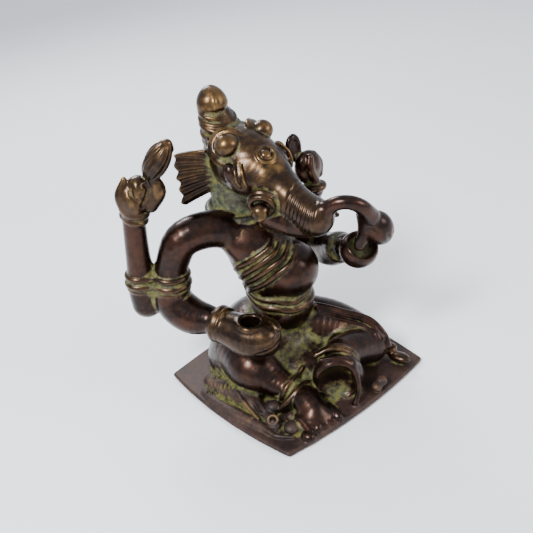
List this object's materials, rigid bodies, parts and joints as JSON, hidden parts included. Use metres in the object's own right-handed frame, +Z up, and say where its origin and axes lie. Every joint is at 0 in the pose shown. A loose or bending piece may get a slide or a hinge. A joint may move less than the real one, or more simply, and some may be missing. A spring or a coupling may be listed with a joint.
{
  "type": "figurine",
  "caption": "Small solid bronze shrine figure of a seated four-armed elephant-headed deity on a thin bowed square plate.",
  "frame": {"origin": "middle of the plate's flat underside, on the surface the figure stands on", "axes": "+Z up; the figure faces -Y; its own right hand side is -X"},
  "size_m": [0.0596, 0.0553, 0.0804],
  "materials": {
    "plate_bronze": "dark brown patinated bronze with green in the recesses",
    "body_bronze": "glossy red-brown handled bronze",
    "limb_bronze": "glossy near-black red-brown handled bronze",
    "worn_bronze": "golden brown bronze worn by touch",
    "thread_bronze": "rolled bronze threads with yellow-green patina between them",
    "rough_bronze": "granular grey-green as-cast bronze"
  },
  "bodies": {
    "root": {"base_plate": "plate_bronze", "belly": "body_bronze", "crown_band": "thread_bronze", "crown_finial": "worn_bronze", "crown_rings": "thread_bronze", "forehead_mark": "worn_bronze", "head": "worn_bronze", "hem_tassel": "thread_bronze", "left_anklet": "thread_bronze", "left_bowl_hand": "limb_bronze", "left_bowl_thumb": "limb_bronze", "left_calf": "body_bronze", "left_crown_boss": "worn_bronze", "left_ear": "thread_bronze", "left_eye": "limb_bronze", "left_foot": "body_bronze", "left_fore_arm": "limb_bronze", "left_rear_arm": "limb_bronze", "left_rear_bangle": "thread_bronze", "left_rear_hand": "limb_bronze", "left_rear_petal": "limb_bronze", "left_thigh": "body_bronze", "left_tusk": "limb_bronze", "left_upper_arm": "limb_bronze", "lower_jaw": "limb_bronze", "mouse_body": "plate_bronze", "neck": "rough_bronze", "neck_collar": "rough_bronze", "offering_pellets": "plate_bronze", "right_anklet": "thread_bronze", "right_armlets": "thread_bronze", "right_crown_boss": "worn_bronze", "right_ear": "thread_bronze", "right_eye": "limb_bronze", "right_fist": "worn_bronze", "right_foot": "body_bronze", "right_fore_arm": "limb_bronze", "right_leg": "body_bronze", "right_rear_arm": "limb_bronze", "right_rear_bangles": "thread_bronze", "right_rear_bud": "worn_bronze", "right_rear_hand": "worn_bronze", "right_tusk": "worn_bronze", "right_upper_arm": "limb_bronze", "right_wrist_bangle": "thread_bronze", "sash_thread_1": "thread_bronze", "sash_thread_2": "thread_bronze", "sash_thread_3": "thread_bronze", "seat_mass": "body_bronze", "sweet_ball": "limb_bronze", "torso": "body_bronze", "trunk_root": "worn_bronze", "trunk_tip": "limb_bronze", "tusk_collar": "thread_bronze", "waist_belt": "thread_bronze"}
  },
  "joints": []
}
